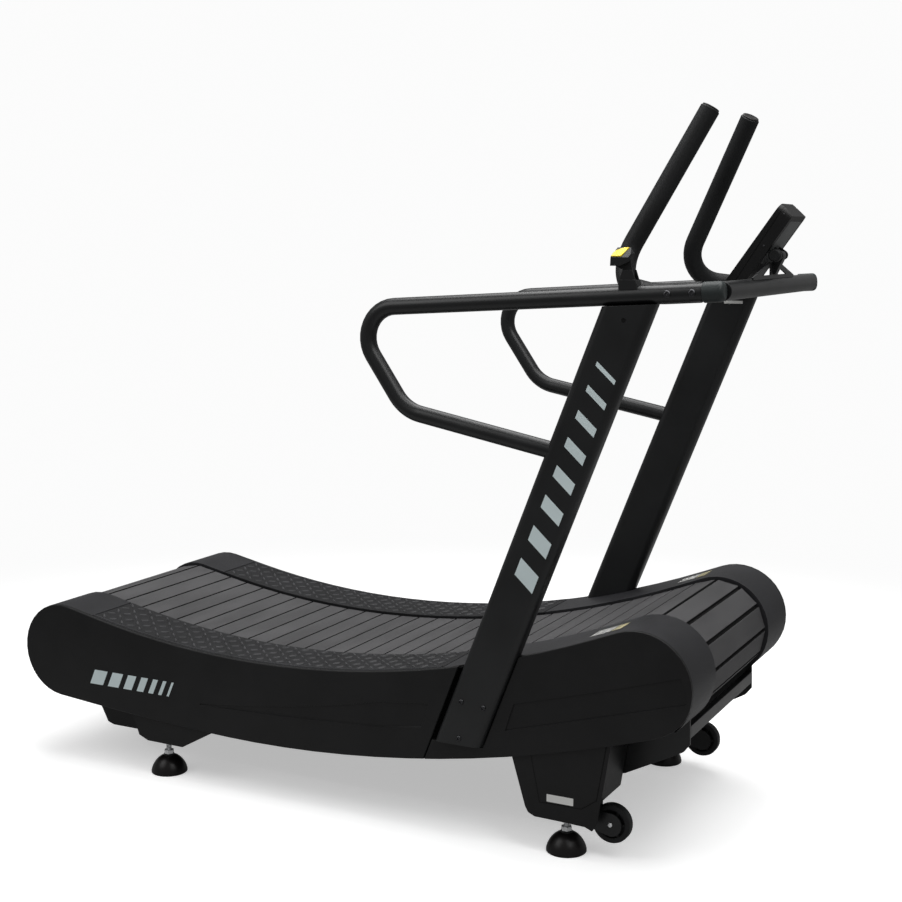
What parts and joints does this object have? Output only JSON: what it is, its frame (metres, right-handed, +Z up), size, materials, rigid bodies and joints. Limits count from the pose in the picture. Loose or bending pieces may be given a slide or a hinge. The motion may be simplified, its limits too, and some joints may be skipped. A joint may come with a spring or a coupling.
{
  "type": "curved manual treadmill",
  "caption": "Curved manual treadmill: a slatted belt on a dished deck, leaning uprights, looped handrails, push handles, a tilting console, a brake lever and transport wheels.",
  "frame": {"origin": "on the floor, below the middle of the bounding box", "axes": "+X forward from the rear end towards the console, +Y to the left of a user facing the console, +Z up"},
  "size_m": [2.0285, 0.821, 1.7318],
  "materials": {
    "cover_plastic": "near-black moulded plastic, fine grain",
    "tread_plastic": "near-black plastic, raised tread bars",
    "black_paint": "satin black powder coat",
    "slat_rubber": "dark grey matt rubber",
    "soft_rubber": "black soft rubber",
    "zinc": "bright zinc plate",
    "steel": "plain turned steel",
    "grey_plastic": "dark grey plastic"
  },
  "bodies": {
    "frame": {"rear_side_cover_right": "cover_plastic", "rear_side_cover_left": "cover_plastic", "front_side_cover_right": "cover_plastic", "front_side_cover_left": "cover_plastic", "front_leg_right": "cover_plastic", "front_leg_left": "cover_plastic", "rear_leg_right": "cover_plastic", "rear_leg_left": "cover_plastic", "foot_rail_right": "tread_plastic", "foot_rail_left": "tread_plastic", "rear_end_cap_right": "tread_plastic", "rear_end_cap_left": "tread_plastic", "front_end_cap_right": "tread_plastic", "front_end_cap_left": "tread_plastic", "side_frame_right": "black_paint", "side_frame_left": "black_paint", "upright_right": "black_paint", "upright_left": "black_paint", "handrail_right": "black_paint", "handrail_left": "black_paint", "wheel_fork_right": "black_paint", "wheel_fork_left": "black_paint", "push_handle_right": "soft_rubber", "push_handle_left": "soft_rubber", "front_bearing_right": "steel", "front_bearing_left": "steel", "rear_bearing_right": "steel", "rear_bearing_left": "steel", "guide_rail_right": "steel", "guide_rail_left": "steel", "corner_sleeve_right": "grey_plastic", "corner_sleeve_left": "grey_plastic", "slat_belt": "slat_rubber", "cross_tube_rear": "black_paint", "cross_tube_front": "black_paint", "front_crossbar": "black_paint", "rear_crossbar": "cover_plastic", "front_bar": "black_paint", "lever_base": "black_paint", "console_bracket": "black_paint"},
    "front_drum": {"front_roller": "steel", "brake_disc": "steel"},
    "rear_drum": {"rear_roller": "steel"},
    "brake_arm": {"magnet_arm": "black_paint"},
    "lever": {"resistance_lever": "soft_rubber"},
    "wheel_right": {"transport_wheel_right": "soft_rubber"},
    "wheel_left": {"transport_wheel_left": "soft_rubber"},
    "console": {"console_housing": "cover_plastic"},
    "tilt_knob": {"console_knob": "soft_rubber"},
    "key_1": {"console_key_1": "grey_plastic"},
    "key_2": {"console_key_2": "grey_plastic"},
    "key_3": {"console_key_3": "grey_plastic"},
    "foot_front_right": {"front_foot_pad_right": "soft_rubber", "front_foot_stud_right": "zinc"},
    "foot_front_left": {"front_foot_pad_left": "soft_rubber", "front_foot_stud_left": "zinc"},
    "foot_rear_right": {"rear_foot_pad_right": "soft_rubber", "rear_foot_stud_right": "zinc"},
    "foot_rear_left": {"rear_foot_pad_left": "soft_rubber", "rear_foot_stud_left": "zinc"}
  },
  "joints": [
    {"name": "front_roller_spin", "type": "hinge", "parent": "frame", "child": "front_drum", "pos_m": [0.7822, 0, 0.434], "axis": [0, 1, 0], "continuous": true},
    {"name": "rear_roller_spin", "type": "hinge", "parent": "frame", "child": "rear_drum", "pos_m": [-0.8863, 0, 0.307], "axis": [0, 1, 0], "continuous": true},
    {"name": "resistance_lever_swing", "type": "hinge", "parent": "frame", "child": "lever", "pos_m": [0.7487, -0.388, 1.352], "axis": [0, 1, 0], "range_deg": [0, 40]},
    {"name": "magnet_arm_swing", "type": "hinge", "parent": "frame", "child": "brake_arm", "pos_m": [0.6537, 0.3, 0.392], "axis": [0, 1, 0], "range_deg": [0, 10]},
    {"name": "wheel_right_spin", "type": "hinge", "parent": "frame", "child": "wheel_right", "pos_m": [0.7097, -0.335, 0.0858], "axis": [0, 1, 0], "continuous": true},
    {"name": "wheel_left_spin", "type": "hinge", "parent": "frame", "child": "wheel_left", "pos_m": [0.7097, 0.335, 0.0858], "axis": [0, 1, 0], "continuous": true},
    {"name": "foot_front_right_height", "type": "slide", "parent": "frame", "child": "foot_front_right", "axis": [0, 0, 1], "range_m": [-0.025, 0.005]},
    {"name": "foot_front_left_height", "type": "slide", "parent": "frame", "child": "foot_front_left", "axis": [0, 0, 1], "range_m": [-0.025, 0.005]},
    {"name": "foot_rear_right_height", "type": "slide", "parent": "frame", "child": "foot_rear_right", "axis": [0, 0, 1], "range_m": [-0.025, 0.005]},
    {"name": "foot_rear_left_height", "type": "slide", "parent": "frame", "child": "foot_rear_left", "axis": [0, 0, 1], "range_m": [-0.025, 0.005]},
    {"name": "console_tilt", "type": "hinge", "parent": "frame", "child": "console", "pos_m": [0.9737, 0, 1.39], "axis": [0, 1, 0], "range_deg": [-8, 25]},
    {"name": "console_knob_turn", "type": "hinge", "parent": "frame", "child": "tilt_knob", "pos_m": [0.9737, -0.045, 1.39], "axis": [0, 1, 0], "range_deg": [-180, 180]},
    {"name": "console_key_1_press", "type": "slide", "parent": "console", "child": "key_1", "axis": [0.8161, 0, -0.5779], "range_m": [0, 0.0015], "stiffness_N_per_m": 300},
    {"name": "console_key_2_press", "type": "slide", "parent": "console", "child": "key_2", "axis": [0.8161, 0, -0.5779], "range_m": [0, 0.0015], "stiffness_N_per_m": 300},
    {"name": "console_key_3_press", "type": "slide", "parent": "console", "child": "key_3", "axis": [0.8161, 0, -0.5779], "range_m": [0, 0.0015], "stiffness_N_per_m": 300}
  ],
  "couplings": [
    {"joint": "rear_roller_spin", "follows": "front_roller_spin", "ratio": 1.0179},
    {"joint": "magnet_arm_swing", "follows": "resistance_lever_swing", "ratio": 0.25}
  ]
}
